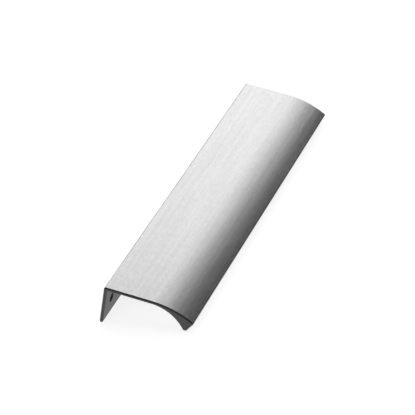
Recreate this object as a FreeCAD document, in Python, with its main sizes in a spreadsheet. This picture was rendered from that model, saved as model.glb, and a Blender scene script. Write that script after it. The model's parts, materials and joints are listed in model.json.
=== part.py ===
import FreeCAD, Part
import math
import os
import Sketcher

# Handleless finger pull: one length of extruded aluminium for the top edge of a door or drawer front.
# The section is drawn in millimetres from the outer top corner of the screw flange. X runs across the
# top plate towards the lip, Z runs up and Y runs along the length, which is centred on the origin.

DIMENSIONS = [
    ("profile_length", 200.0, "sawn length"),
    ("overall_depth", 41.0, "outer face of the flange to the nose of the lip"),
    ("flange_height", 18.0, "top face to the flange's lower edge"),
    ("flange_thickness", 1.5, "wall of the screw flange"),
    ("plate_thickness", 1.5, "wall of the flat top plate"),
    ("flat_depth", 21.5, "outer face of the flange to the start of both curves"),
    ("top_curve_radius", 41.0, "crown over the lip"),
    ("finger_curve_radius", 18.5, "hollow under the lip, where the fingertips go"),
    ("front_lean", 33.0, "angle of the front face of the lip from the vertical, in degrees"),
    ("nose_radius", 0.6, "edge between the crown and the front face"),
    ("tip_radius", 1.2, "lower edge of the lip, which the fingers pull on"),
    ("outer_corner_radius", 1.0, "long corner between the top and the flange"),
    ("inner_corner_radius", 0.4, "die radius in the inside corner"),
    ("hole_diameter", 4.5, "clearance for a 4 mm wood screw"),
    ("hole_end_distance", 9.0, "sawn end to the centre of the nearer hole"),
    ("hole_drop", 9.75, "top face to the centre of the holes"),
    ("end_break", 0.5, "edge taken off round each sawn end"),
]

doc = FreeCAD.newDocument("finger_pull")
sheet = doc.addObject("Spreadsheet::Sheet", "Dimensions")
for row, (alias, value, meaning) in enumerate(DIMENSIONS, start=1):
    sheet.set(f"A{row}", meaning)
    sheet.set(f"B{row}", str(value))
    sheet.setAlias(f"B{row}", alias)
doc.recompute()


def size(alias):
    return float(sheet.get(alias))


def point(x, z):
    return FreeCAD.Vector(x, z, 0)


def direction(angle):
    return point(math.cos(angle), math.sin(angle))


def line(start, end):
    return Part.LineSegment(start, end)


def arc(centre, radius, start_angle, end_angle):
    circle = Part.Circle(centre, FreeCAD.Vector(0, 0, 1), radius)
    return Part.ArcOfCircle(circle, start_angle, end_angle)


def origin_plane(body, role):
    return next(feature for feature in body.Origin.OriginFeatures if feature.Role == role)


def attached_sketch(body, name, role):
    sketch = body.newObject("Sketcher::SketchObject", name)
    sketch.AttachmentSupport = [(origin_plane(body, role), "")]
    sketch.MapMode = "FlatFace"
    return sketch


def dimension(sketch, name, expression, constraint):
    """Add a constraint whose value follows the sheet."""
    index = sketch.addConstraint(constraint)
    sketch.renameConstraint(index, name)
    sketch.setExpression(f"Constraints.{name}", expression)


# Where the curves of the section are centred

flange_edge_radius = size("flange_thickness") / 2
flange_edge_centre = point(flange_edge_radius, flange_edge_radius - size("flange_height"))
top_centre = point(size("flat_depth"), -size("top_curve_radius"))
finger_centre = point(size("flat_depth"), -size("plate_thickness") - size("finger_curve_radius"))

# The nose is a round inside the crown, and the front face leaves it downwards at its own lean.
nose_arm = size("top_curve_radius") - size("nose_radius")
nose_reach = size("overall_depth") - size("nose_radius") - size("flat_depth")
crown_end_angle = math.acos(nose_reach / nose_arm)
nose_centre = top_centre + direction(crown_end_angle) * nose_arm
front_angle = math.pi / 2 - math.radians(size("front_lean"))
along_front = direction(front_angle)
out_of_front = direction(front_angle - math.pi / 2)

# The tip is a round between the front face and the finger hollow. Its centre is tip_radius inside the
# front face, on the line down from the nose that meets the circle round the hollow's centre.
inset_nose = nose_centre + out_of_front * (size("nose_radius") - size("tip_radius"))
from_hollow = inset_nose - finger_centre
tip_arm = size("finger_curve_radius") + size("tip_radius")
along_to_middle = from_hollow.dot(along_front)
tip_fall = along_to_middle - math.sqrt(along_to_middle**2 - from_hollow.Length**2 + tip_arm**2)
tip_centre = inset_nose - along_front * tip_fall
to_tip = tip_centre - finger_centre
tip_angle = math.atan2(to_tip.y, to_tip.x)


# The extruded section

# Sketch constraints number a curve's points up from 1, and the sketch's own axes down from -1.
START, END, CENTRE = range(1, 4)
X_AXIS, Z_AXIS = range(-1, -3, -1)
SKETCH_ORIGIN = (X_AXIS, START)
QUARTER, HALF, FULL = math.pi / 2, math.pi, 2 * math.pi

body = doc.addObject("PartDesign::Body", "PullProfile")
body.Label = "pull_profile"
section = attached_sketch(body, "Section", "XZ_Plane")

outer_corner_centre = point(size("outer_corner_radius"), -size("outer_corner_radius"))
inner_corner_centre = point(
    size("flange_thickness") + size("inner_corner_radius"),
    -size("plate_thickness") - size("inner_corner_radius"),
)
inner_face = size("flange_thickness")
underside = -size("plate_thickness")

outline = [
    line(point(outer_corner_centre.x, 0), point(top_centre.x, 0)),
    arc(top_centre, size("top_curve_radius"), crown_end_angle, QUARTER),
    arc(nose_centre, size("nose_radius"), front_angle - QUARTER, crown_end_angle),
    line(
        tip_centre + out_of_front * size("tip_radius"),
        nose_centre + out_of_front * size("nose_radius"),
    ),
    arc(tip_centre, size("tip_radius"), tip_angle + HALF, front_angle - QUARTER + FULL),
    arc(finger_centre, size("finger_curve_radius"), tip_angle, QUARTER),
    line(point(finger_centre.x, underside), point(inner_corner_centre.x, underside)),
    arc(inner_corner_centre, size("inner_corner_radius"), QUARTER, HALF),
    line(point(inner_face, inner_corner_centre.y), point(inner_face, flange_edge_centre.y)),
    arc(flange_edge_centre, flange_edge_radius, HALF, FULL),
    line(point(0, flange_edge_centre.y), point(0, outer_corner_centre.y)),
    arc(outer_corner_centre, size("outer_corner_radius"), QUARTER, HALF),
]
(
    top_flat,
    crown,
    nose,
    front_face,
    tip,
    finger_hollow,
    plate_underside,
    inner_corner,
    flange_inside,
    flange_edge,
    flange_outside,
    outer_corner,
) = section.addGeometry(outline, False)

smooth_joins = [
    (top_flat, END, crown, END),
    (crown, START, nose, END),
    (nose, START, front_face, END),
    (front_face, START, tip, END),
    (tip, START, finger_hollow, START),
    (finger_hollow, END, plate_underside, START),
    (plate_underside, END, inner_corner, START),
    (inner_corner, END, flange_inside, START),
    (flange_inside, END, flange_edge, END),
    (flange_edge, START, flange_outside, START),
    (flange_outside, END, outer_corner, END),
    (outer_corner, START, top_flat, START),
]
for join in smooth_joins:
    section.addConstraint(Sketcher.Constraint("Tangent", *join))
section.addConstraint(Sketcher.Constraint("Horizontal", top_flat))
section.addConstraint(Sketcher.Constraint("Horizontal", plate_underside))
section.addConstraint(Sketcher.Constraint("Vertical", flange_inside))
section.addConstraint(Sketcher.Constraint("Vertical", flange_outside))
section.addConstraint(Sketcher.Constraint("PointOnObject", top_flat, END, X_AXIS))
section.addConstraint(Sketcher.Constraint("PointOnObject", flange_outside, START, Z_AXIS))
section.addConstraint(Sketcher.Constraint("Vertical", crown, CENTRE, finger_hollow, CENTRE))

dimension(
    section,
    "flat_depth",
    "Dimensions.flat_depth",
    Sketcher.Constraint("DistanceX", *SKETCH_ORIGIN, top_flat, END, size("flat_depth")),
)
dimension(
    section,
    "nose_reach",
    "Dimensions.overall_depth - Dimensions.nose_radius",
    Sketcher.Constraint("DistanceX", *SKETCH_ORIGIN, nose, CENTRE, nose_centre.x),
)
dimension(
    section,
    "plate_thickness",
    "Dimensions.plate_thickness",
    Sketcher.Constraint("DistanceY", plate_underside, START, *SKETCH_ORIGIN, -underside),
)
dimension(
    section,
    "flange_thickness",
    "Dimensions.flange_thickness",
    Sketcher.Constraint("DistanceX", *SKETCH_ORIGIN, flange_inside, END, inner_face),
)
dimension(
    section,
    "flange_drop",
    "Dimensions.flange_height - Dimensions.flange_thickness / 2",
    Sketcher.Constraint("DistanceY", flange_edge, CENTRE, *SKETCH_ORIGIN, -flange_edge_centre.y),
)
dimension(
    section,
    "front_angle",
    "(90 - Dimensions.front_lean) * 1 deg",
    Sketcher.Constraint("Angle", front_face, front_angle),
)
radii = [
    (crown, "top_curve_radius"),
    (finger_hollow, "finger_curve_radius"),
    (nose, "nose_radius"),
    (tip, "tip_radius"),
    (outer_corner, "outer_corner_radius"),
    (inner_corner, "inner_corner_radius"),
]
for curve, alias in radii:
    radius = Sketcher.Constraint("Radius", curve, size(alias))
    dimension(section, alias, f"Dimensions.{alias}", radius)

extrusion = body.newObject("PartDesign::Pad", "Extrusion")
extrusion.Profile = section
extrusion.SideType = "Symmetric"
extrusion.setExpression("Length", "Dimensions.profile_length")
doc.recompute()

# Screw holes in the flange, one near each end, drilled from its outer face

hole_sketch = attached_sketch(body, "ScrewHoleCircle", "YZ_Plane")
hole_y = size("profile_length") / 2 - size("hole_end_distance")
hole_centre = point(-hole_y, -size("hole_drop"))
circle = Part.Circle(hole_centre, FreeCAD.Vector(0, 0, 1), size("hole_diameter") / 2)
hole = hole_sketch.addGeometry(circle, False)
dimension(
    hole_sketch,
    "hole_diameter",
    "Dimensions.hole_diameter",
    Sketcher.Constraint("Diameter", hole, size("hole_diameter")),
)
dimension(
    hole_sketch,
    "hole_from_middle",
    "Dimensions.profile_length / 2 - Dimensions.hole_end_distance",
    Sketcher.Constraint("DistanceX", hole, CENTRE, *SKETCH_ORIGIN, hole_y),
)
dimension(
    hole_sketch,
    "hole_drop",
    "Dimensions.hole_drop",
    Sketcher.Constraint("DistanceY", hole, CENTRE, *SKETCH_ORIGIN, size("hole_drop")),
)
near_hole = body.newObject("PartDesign::Pocket", "NearScrewHole")
near_hole.Profile = hole_sketch
near_hole.Reversed = True
near_hole.setExpression("Length", "Dimensions.flange_thickness")
doc.recompute()

both_holes = body.newObject("PartDesign::Mirrored", "BothScrewHoles")
both_holes.Originals = [near_hole]
both_holes.MirrorPlane = (origin_plane(body, "XZ_Plane"), [""])
body.Tip = both_holes
doc.recompute()

# The saw leaves sharp edges, so the outline of each end is broken.


def end_edges(shape):
    """Names of the edges that lie in the plane of either sawn end."""
    tolerance = 1e-6
    half_length = size("profile_length") / 2
    names = []
    for number, edge in enumerate(shape.Edges, start=1):
        box = edge.BoundBox
        if box.YLength < tolerance and abs(abs(box.Center.y) - half_length) < tolerance:
            names.append(f"Edge{number}")
    return names


broken_ends = body.newObject("PartDesign::Chamfer", "BrokenEnds")
broken_ends.Base = (both_holes, end_edges(both_holes.Shape))
broken_ends.setExpression("Size", "Dimensions.end_break")
body.Tip = broken_ends
doc.recompute()

# At rest it lies on the flange's lower edge and the tip of the lip, so the plate slopes down to the lip.
# The floor touches both rounds, and the origin is on the floor under the middle of the profile.

span = tip_centre - flange_edge_centre
step = size("tip_radius") - flange_edge_radius
rest_tilt = math.atan2(span.y, span.x) - math.asin(step / span.Length)
tilted = FreeCAD.Rotation(FreeCAD.Vector(0, 1, 0), math.degrees(rest_tilt))
body.Placement = FreeCAD.Placement(FreeCAD.Vector(), tilted)
doc.recompute()
tilted_box = body.Shape.optimalBoundingBox()
to_floor = FreeCAD.Vector(-tilted_box.Center.x, 0, -tilted_box.ZMin)
body.Placement = FreeCAD.Placement(to_floor, tilted)
doc.recompute()

# Check every feature, then write the piece

failed = [item.Name for item in doc.Objects if {"Invalid", "Error"} & set(item.State)]
if failed:
    raise RuntimeError(f"features failed: {failed}")
for sketch in (section, hole_sketch):
    if not sketch.FullyConstrained:
        raise RuntimeError(f"{sketch.Name} is not fully constrained")
drilled = extrusion.Shape.Volume - both_holes.Shape.Volume
hole_area = math.pi * (size("hole_diameter") / 2) ** 2
if not math.isclose(drilled, 2 * hole_area * size("flange_thickness"), rel_tol=1e-3):
    raise RuntimeError("the two screw holes don't go through the flange")
if body.Shape.isNull() or not body.Shape.isValid() or len(body.Shape.Solids) != 1:
    raise RuntimeError("the profile isn't one valid solid")

os.makedirs("parts", exist_ok=True)
body.Shape.exportStep(f"parts/{body.Label}.step")
box = body.Shape.optimalBoundingBox()
print(f"{body.Label}: {box.XLength:.3f} x {box.YLength:.3f} x {box.ZLength:.3f} mm")
print(f"volume {body.Shape.Volume:.1f} mm3, rest tilt {math.degrees(rest_tilt):.3f} degrees")
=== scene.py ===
import json
import math

import bmesh
import bpy
from mathutils import Matrix, Quaternion, Vector


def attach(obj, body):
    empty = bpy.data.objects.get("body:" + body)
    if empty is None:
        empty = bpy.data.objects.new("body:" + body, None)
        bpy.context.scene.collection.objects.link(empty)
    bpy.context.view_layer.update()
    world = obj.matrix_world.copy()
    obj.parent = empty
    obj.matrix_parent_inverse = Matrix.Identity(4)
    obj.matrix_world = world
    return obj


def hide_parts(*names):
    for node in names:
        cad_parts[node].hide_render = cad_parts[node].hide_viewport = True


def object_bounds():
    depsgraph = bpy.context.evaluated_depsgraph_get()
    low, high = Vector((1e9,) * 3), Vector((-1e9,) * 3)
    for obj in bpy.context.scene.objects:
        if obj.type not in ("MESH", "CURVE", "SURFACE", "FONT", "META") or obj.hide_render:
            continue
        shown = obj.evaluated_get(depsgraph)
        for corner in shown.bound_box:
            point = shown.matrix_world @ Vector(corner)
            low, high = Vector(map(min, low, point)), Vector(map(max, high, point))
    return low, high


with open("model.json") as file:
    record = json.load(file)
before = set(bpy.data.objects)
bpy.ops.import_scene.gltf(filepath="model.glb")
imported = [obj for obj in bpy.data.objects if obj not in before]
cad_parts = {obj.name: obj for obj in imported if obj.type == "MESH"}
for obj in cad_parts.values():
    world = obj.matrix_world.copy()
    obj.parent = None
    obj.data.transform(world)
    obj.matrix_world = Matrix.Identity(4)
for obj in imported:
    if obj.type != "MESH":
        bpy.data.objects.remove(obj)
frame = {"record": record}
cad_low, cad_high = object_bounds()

# The section of the pull
# One length of aluminium, pushed hot through a die, so that the screw flange, the flat top plate and the
# thick curved lip are one piece. Sizes are in millimetres, from the outer top corner of the flange.

MM = 0.001
FINEST_STEP = 0.0005 * MM

overall_depth = 41.0 * MM
flange_height = 18.0 * MM
wall = 1.5 * MM
flat_depth = 21.5 * MM
top_curve_radius = 41.0 * MM
finger_curve_radius = 18.5 * MM
front_lean = math.radians(33.0)
nose_radius = 0.6 * MM
tip_radius = 1.2 * MM
outer_corner_radius = 1.0 * MM
inner_corner_radius = 0.4 * MM
end_break = 0.5 * MM

QUARTER, HALF = math.pi / 2, math.pi


def towards(angle):
    return Vector((math.cos(angle), math.sin(angle)))


flange_edge_radius = wall / 2
flange_edge_centre = Vector((flange_edge_radius, flange_edge_radius - flange_height))
outer_corner_centre = Vector((outer_corner_radius, -outer_corner_radius))
inner_corner_centre = Vector((wall + inner_corner_radius, -wall - inner_corner_radius))
crown_centre = Vector((flat_depth, -top_curve_radius))
hollow_centre = Vector((flat_depth, -wall - finger_curve_radius))

nose_arm = top_curve_radius - nose_radius
crown_end = math.acos((overall_depth - nose_radius - flat_depth) / nose_arm)
nose_centre = crown_centre + towards(crown_end) * nose_arm
along_front = towards(QUARTER - front_lean)
out_of_front = towards(-front_lean)

inset_nose = nose_centre + out_of_front * (nose_radius - tip_radius)
from_hollow = inset_nose - hollow_centre
tip_arm = finger_curve_radius + tip_radius
to_middle = from_hollow.dot(along_front)
tip_fall = to_middle - math.sqrt(to_middle**2 - from_hollow.length_squared + tip_arm**2)
tip_centre = inset_nose - along_front * tip_fall
to_tip = tip_centre - hollow_centre
tip_angle = math.atan2(to_tip.y, to_tip.x)

# The brush reaches the top and the outside of the flange. The nose and all below it stay as extruded, and take
# the darker material, whose grey is painted shade.
SHOWN, INNER_PAINTED_SHADE, SAWN_PAINTED_SHADE = range(3)
OUTWARD, INWARD = 1, -1
rounds = [
    (SHOWN, OUTWARD, outer_corner_centre, outer_corner_radius, HALF, QUARTER),
    (SHOWN, OUTWARD, crown_centre, top_curve_radius, QUARTER, crown_end),
    (INNER_PAINTED_SHADE, OUTWARD, nose_centre, nose_radius, crown_end, -front_lean),
    (INNER_PAINTED_SHADE, OUTWARD, tip_centre, tip_radius, -front_lean, tip_angle - HALF),
    (INNER_PAINTED_SHADE, INWARD, hollow_centre, finger_curve_radius, tip_angle, QUARTER),
    (INNER_PAINTED_SHADE, INWARD, inner_corner_centre, inner_corner_radius, QUARTER, HALF),
    (INNER_PAINTED_SHADE, OUTWARD, flange_edge_centre, flange_edge_radius, 0.0, -QUARTER),
    (SHOWN, OUTWARD, flange_edge_centre, flange_edge_radius, -QUARTER, -HALF),
]

outline = []
for finish, facing, centre, radius, start, end in rounds:
    steps = math.ceil(abs(end - start) / (2 * math.acos(1 - FINEST_STEP / radius)))
    for step in range(steps + 1):
        out = towards(start + (end - start) * step / steps)
        point = centre + out * radius
        if outline and (point - outline[-1][0]).length < FINEST_STEP:
            outline.pop()
        outline.append((point, out * facing, finish))

# The length of the pull
# The profile is sawn square at both ends, the sharp edges are filed off, and the flange is drilled for two
# screws. It lies as it would on a table, on the flange's lower edge and the tip of the lip.

screw_holes = next(mount for mount in frame["record"]["mounts"] if mount["name"] == "screw_holes")
hole_radius = screw_holes["dims"]["hole_r_mm"] * MM
hole_spacing = screw_holes["dims"]["pcd_mm"] * MM
hole_axis = Vector(screw_holes["axis"])
rest_tilt = math.atan2(hole_axis.z, -hole_axis.x)
lie_down = Matrix.Rotation(-rest_tilt, 2)

lowest = (lie_down @ flange_edge_centre).y - flange_edge_radius
leftmost = (lie_down @ flange_edge_centre).x - flange_edge_radius
rightmost = (lie_down @ nose_centre).x + nose_radius
to_rest = Vector((-(leftmost + rightmost) / 2, -lowest))

half_length = (cad_high.y - cad_low.y) / 2
rings = [
    (-half_length, end_break),
    (end_break - half_length, 0.0),
    (half_length - end_break, 0.0),
    (half_length, end_break),
]

across = [0.0]
for (point, _, _), (following, _, _) in zip(outline, outline[1:] + outline[:1]):
    across.append(across[-1] + (following - point).length)

bm = bmesh.new()
uv = bm.loops.layers.uv.new("profile_uv")
grid = []
for y, inset in rings:
    ring = []
    for point, out, _ in outline:
        placed = lie_down @ (point - out * inset) + to_rest
        ring.append(bm.verts.new((placed.x, y, placed.y)))
    grid.append(ring)

count = len(outline)
for band in range(len(rings) - 1):
    for column in range(count):
        beside = (column + 1) % count
        corners = [(band, column, column), (band, beside, column + 1)]
        corners += [(band + 1, beside, column + 1), (band + 1, column, column)]
        face = bm.faces.new([grid[row][place] for row, place, _ in corners])
        # The filed edge bands and the sawn ends take the dark material: painted shade, a dark line along the
        # edges and dark ends.
        face.material_index = outline[column][2] if band == 1 else SAWN_PAINTED_SHADE
        for loop, (row, _, place) in zip(face.loops, corners):
            loop[uv].uv = (across[place], rings[row][0])
for ring in (grid[0], grid[-1]):
    face = bm.faces.new(ring)
    face.material_index = SAWN_PAINTED_SHADE
    for loop in face.loops:
        loop[uv].uv = (loop.vert.co.x, loop.vert.co.z)
bmesh.ops.recalc_face_normals(bm, faces=bm.faces)

profile_mesh = bpy.data.meshes.new("pull_profile_brushed")
bm.to_mesh(profile_mesh)
bm.free()
profile = bpy.data.objects.new("pull_profile_brushed", profile_mesh)
bpy.context.scene.collection.objects.link(profile)

drill_mesh = bpy.data.meshes.new("drill")
bm = bmesh.new()
DRILL_SIDES = 96
drill_length = wall * 4
for side in (-1, 1):
    middle = Vector(screw_holes["pos_m"]) + Vector((0, side * hole_spacing / 2, 0))
    aim = hole_axis.to_track_quat("Z", "Y").to_matrix().to_4x4()
    bmesh.ops.create_cone(
        bm,
        cap_ends=True,
        segments=DRILL_SIDES,
        radius1=hole_radius,
        radius2=hole_radius,
        depth=drill_length,
        matrix=Matrix.Translation(middle) @ aim,
    )
# The bore walls take the dark material too: painted shade in the holes.
for face in bm.faces:
    face.material_index = SAWN_PAINTED_SHADE
bm.to_mesh(drill_mesh)
bm.free()
drill = bpy.data.objects.new("drill", drill_mesh)
bpy.context.scene.collection.objects.link(drill)

# The finish of the pull
# The faces that show are brushed along the length with fine abrasive and then clear anodised: a bright, soft
# grey metal whose fine lines smear each reflection sideways. The inner faces keep the die's faint long lines,
# and their darker grey is painted shade, as is the dark of the sawn ends, filed edges and bores.


def linear(hex_colour):
    """An sRGB hex colour as linear red, green, blue and alpha."""
    levels = [int(hex_colour[place : place + 2], 16) / 255 for place in (1, 3, 5)]
    return [v / 12.92 if v <= 0.04045 else ((v + 0.055) / 1.055) ** 2.4 for v in levels] + [1.0]


def add_node(tree, kind, inputs=None, **settings):
    """Add a node with its settings; an input takes a value or another node's output."""
    made = tree.nodes.new(kind)
    for name, value in settings.items():
        setattr(made, name, value)
    for socket, value in (inputs or {}).items():
        if isinstance(value, bpy.types.NodeSocket):
            tree.links.new(value, made.inputs[socket])
        else:
            made.inputs[socket].default_value = value
    return made


def new_material(name):
    made = bpy.data.materials.new(name)
    made.use_nodes = True
    made.node_tree.nodes.clear()
    return made, made.node_tree


def per_metre(across_mm, along_mm):
    """The scale at which a pattern repeats about once in these sizes, with its lines along the profile."""
    return (1 / (across_mm * MM), 1 / (along_mm * MM), 1 / (across_mm * MM))


# Brushed and clear anodised aluminium: bright, with fine broken lines along the length. Real brush lines are a
# few hundredths of a millimetre wide. They are drawn about half a millimetre wide, so that they show.
FAINT_GRAIN, STRONG_GRAIN = 0.65, 1.55
brushed, tree = new_material("brushed_anodised_aluminium")
place = add_node(tree, "ShaderNodeTexCoord").outputs["Object"]
bundles = add_node(
    tree,
    "ShaderNodeTexNoise",
    {
        "Vector": add_node(
            tree, "ShaderNodeMapping", {"Vector": place, "Scale": per_metre(1.2, 60.0)}
        ).outputs[0],
        "Scale": 1.0,
        "Detail": 3.0,
        "Roughness": 0.65,
    },
)
hairs = add_node(
    tree,
    "ShaderNodeTexNoise",
    {
        "Vector": add_node(
            tree, "ShaderNodeMapping", {"Vector": place, "Scale": per_metre(0.45, 3.0)}
        ).outputs[0],
        "Scale": 1.0,
        "Detail": 2.0,
        "Roughness": 0.6,
    },
)
grain = add_node(
    tree,
    "ShaderNodeMath",
    {0: hairs.outputs[0], 1: 1.2, 2: bundles.outputs[0]},
    operation="MULTIPLY_ADD",
)
tone = add_node(
    tree,
    "ShaderNodeMapRange",
    {"Value": grain.outputs[0], "From Min": FAINT_GRAIN, "From Max": STRONG_GRAIN},
)
colour = add_node(
    tree,
    "ShaderNodeMix",
    {0: tone.outputs[0], 6: linear("#D7D7D8"), 7: linear("#F8F8F9")},
    data_type="RGBA",
)
roughness = add_node(
    tree,
    "ShaderNodeMapRange",
    {
        "Value": grain.outputs[0],
        "From Min": FAINT_GRAIN,
        "From Max": STRONG_GRAIN,
        "To Min": 0.29,
        "To Max": 0.32,
    },
)
relief = add_node(
    tree,
    "ShaderNodeBump",
    {"Height": grain.outputs[0], "Strength": 1.0, "Distance": 0.05 * MM},
)
sideways = add_node(tree, "ShaderNodeTangent", direction_type="UV_MAP", uv_map="profile_uv")
metal = add_node(
    tree,
    "ShaderNodeBsdfPrincipled",
    {
        "Base Color": colour.outputs[2],
        "Metallic": 1.0,
        "Roughness": roughness.outputs[0],
        "Anisotropic": 0.7,
        "Tangent": sideways.outputs[0],
        "Normal": relief.outputs[0],
    },
)
add_node(tree, "ShaderNodeOutputMaterial", {"Surface": metal.outputs[0]})

# Extruded and anodised aluminium, as the die left it: even, with faint lines along the whole length. Its dark
# grey is painted shade, which draws the faces that turn down or inward darker than the metal is.
inner_painted_shade, tree = new_material("extruded_aluminium_painted_shade")
place = add_node(tree, "ShaderNodeTexCoord").outputs["Object"]
die_lines = add_node(
    tree,
    "ShaderNodeTexNoise",
    {
        "Vector": add_node(
            tree, "ShaderNodeMapping", {"Vector": place, "Scale": per_metre(1.6, 260.0)}
        ).outputs[0],
        "Scale": 1.0,
        "Detail": 3.0,
    },
)
# The two dark greys are painted shade; the die lines only vary them a little.
colour = add_node(
    tree,
    "ShaderNodeMix",
    {0: die_lines.outputs[0], 6: linear("#6C6C6E"), 7: linear("#7C7C7E")},
    data_type="RGBA",
)
relief = add_node(
    tree,
    "ShaderNodeBump",
    {"Height": die_lines.outputs[0], "Strength": 1.0, "Distance": 0.02 * MM},
)
metal = add_node(
    tree,
    "ShaderNodeBsdfPrincipled",
    {
        "Base Color": colour.outputs[2],
        "Metallic": 1.0,
        "Roughness": 0.6,
        "Normal": relief.outputs[0],
    },
)
add_node(tree, "ShaderNodeOutputMaterial", {"Surface": metal.outputs[0]})

# Sawn, filed and drilled aluminium with short scratches. Its dark grey is painted shade, which draws the cut
# ends, the filed edges and the bores dark.
SCRATCH_WIDTH = 0.5 * MM
SCRATCH_LENGTH = 12.0 * MM
sawn_painted_shade, tree = new_material("sawn_aluminium_painted_shade")
place = add_node(tree, "ShaderNodeTexCoord").outputs["Object"]
saw_lines = add_node(
    tree,
    "ShaderNodeTexNoise",
    {
        "Vector": add_node(
            tree,
            "ShaderNodeMapping",
            {"Vector": place, "Scale": (1 / SCRATCH_WIDTH, 1 / SCRATCH_WIDTH, 1 / SCRATCH_LENGTH)},
        ).outputs[0],
        "Scale": 1.0,
        "Detail": 3.0,
    },
)
# The two dark greys are painted shade; the scratches only vary them a little.
colour = add_node(
    tree,
    "ShaderNodeMix",
    {0: saw_lines.outputs[0], 6: linear("#444446"), 7: linear("#626264")},
    data_type="RGBA",
)
relief = add_node(
    tree,
    "ShaderNodeBump",
    {"Height": saw_lines.outputs[0], "Strength": 1.0, "Distance": 0.03 * MM},
)
metal = add_node(
    tree,
    "ShaderNodeBsdfPrincipled",
    {
        "Base Color": colour.outputs[2],
        "Metallic": 1.0,
        "Roughness": 0.5,
        "Normal": relief.outputs[0],
    },
)
add_node(tree, "ShaderNodeOutputMaterial", {"Surface": metal.outputs[0]})

for mesh in (profile_mesh, drill_mesh):
    for material in (brushed, inner_painted_shade, sawn_painted_shade):
        mesh.materials.append(material)

drilling = profile.modifiers.new("drilling", "BOOLEAN")
drilling.operation = "DIFFERENCE"
drilling.solver = "EXACT"
drilling.object = drill
drilled = profile.evaluated_get(bpy.context.evaluated_depsgraph_get())
profile.data = bpy.data.meshes.new_from_object(drilled)
profile.modifiers.clear()
bpy.data.objects.remove(drill)

SHARPEST_ROUND = math.radians(20.0)
profile.data.shade_smooth()
profile.data.set_sharp_from_angle(angle=SHARPEST_ROUND)

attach(profile, "root")
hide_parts("pull_profile")

# The studio
# A plain white floor under large soft lamps. Metal shows what is round it: the flat shows the bright lamp
# behind, and the curved lip turns away from it to a dim corner, so it goes from light to dark.

FLOOR_SIZE = 20.0
floor_mesh = bpy.data.meshes.new("floor")
bm = bmesh.new()
bmesh.ops.create_grid(bm, x_segments=1, y_segments=1, size=FLOOR_SIZE / 2)
bm.to_mesh(floor_mesh)
bm.free()
floor = bpy.data.objects.new("floor", floor_mesh)
bpy.context.scene.collection.objects.link(floor)

# White paper, matt. Its own glow, seen by the eye and in reflections, adds what the lamps lack of plain white.
PAPER_GLOW = 0.8
white_floor, tree = new_material("white_floor")
ray = add_node(tree, "ShaderNodeLightPath")
camera_or_glossy = add_node(
    tree,
    "ShaderNodeMath",
    {0: ray.outputs["Is Camera Ray"], 1: ray.outputs["Is Glossy Ray"]},
    operation="MAXIMUM",
)
seen = add_node(
    tree,
    "ShaderNodeMath",
    {0: camera_or_glossy.outputs[0], 1: ray.outputs["Is Transmission Ray"]},
    operation="MAXIMUM",
)
glow = add_node(tree, "ShaderNodeMath", {0: seen.outputs[0], 1: PAPER_GLOW}, operation="MULTIPLY")
paper = add_node(tree, "ShaderNodeBsdfDiffuse", {"Color": linear("#F4F4F4")})
light = add_node(tree, "ShaderNodeEmission", {"Strength": glow.outputs[0]})
both = add_node(tree, "ShaderNodeAddShader", {0: paper.outputs[0], 1: light.outputs[0]})
add_node(tree, "ShaderNodeOutputMaterial", {"Surface": both.outputs[0]})
floor_mesh.materials.append(white_floor)


def soft_lamp(name, centre, aim, width, height, radiance):
    """A softbox of the given brightness, which is the level a white mirror would show."""
    lamp = bpy.data.lights.new(name, "AREA")
    lamp.shape = "RECTANGLE"
    lamp.size = width
    lamp.size_y = height
    lamp.energy = radiance * math.pi * width * height
    holder = bpy.data.objects.new(name, lamp)
    holder.location = centre
    holder.rotation_mode = "QUATERNION"
    holder.rotation_quaternion = (Vector(aim) - Vector(centre)).to_track_quat("-Z", "Y")
    bpy.context.scene.collection.objects.link(holder)
    return holder


CEILING = 1.6


def ceiling_lamp(name, left, right, front, back, radiance):
    """A softbox that faces down from the ceiling, with its four edges in metres."""
    centre = Vector(((left + right) / 2, (front + back) / 2, CEILING))
    return soft_lamp(name, centre, centre - Vector((0, 0, 1)), right - left, back - front, radiance)


ceiling_lamp("back_lamp", -2.5, 0.34, 1.86, 6.0, 1.22)
ceiling_lamp("back_lamp_side", 0.34, 0.95, 2.45, 6.0, 0.68)
ceiling_lamp("top_lamp", -1.7, 1.0, -0.4, 1.1, 0.45)
ceiling_lamp("front_lamp", -2.2, 0.7, -5.0, -1.5, 0.75)
soft_lamp("right_lamp", (2.2, -0.3, 0.45), (0.0, -0.3, 0.45), 4.6, 0.9, 0.7)

world = bpy.data.worlds.new("studio")
world.use_nodes = True
world.node_tree.nodes.clear()
tree = world.node_tree
dim = add_node(tree, "ShaderNodeBackground", {"Color": linear("#FFFFFF"), "Strength": 0.006})
add_node(tree, "ShaderNodeOutputWorld", {"Surface": dim.outputs[0]})
bpy.context.scene.world = world
bpy.context.scene.view_settings.view_transform = "Standard"

# The camera
# It stands in front of the pull, to its right and above it. The long lens, from over a metre away, keeps the
# long edges almost parallel.

SENSOR = 36.0
LENS = 252.10
CAMERA_PLACE = Vector((0.40486, -1.08789, 0.62420))
LOOK_AZIMUTH = math.radians(-20.655)
LOOK_DOWN = math.radians(28.077)
ROLL = math.radians(5.043)
camera_data = bpy.data.cameras.new("camera")
camera_data.sensor_width = SENSOR
camera_data.lens = LENS
camera = bpy.data.objects.new("camera", camera_data)
look = Vector(
    (
        math.sin(LOOK_AZIMUTH) * math.cos(LOOK_DOWN),
        math.cos(LOOK_AZIMUTH) * math.cos(LOOK_DOWN),
        -math.sin(LOOK_DOWN),
    )
)
camera.location = CAMERA_PLACE
camera.rotation_mode = "QUATERNION"
camera.rotation_quaternion = look.to_track_quat("-Z", "Y") @ Quaternion((0, 0, 1), -ROLL)
bpy.context.scene.collection.objects.link(camera)
bpy.context.scene.camera = camera
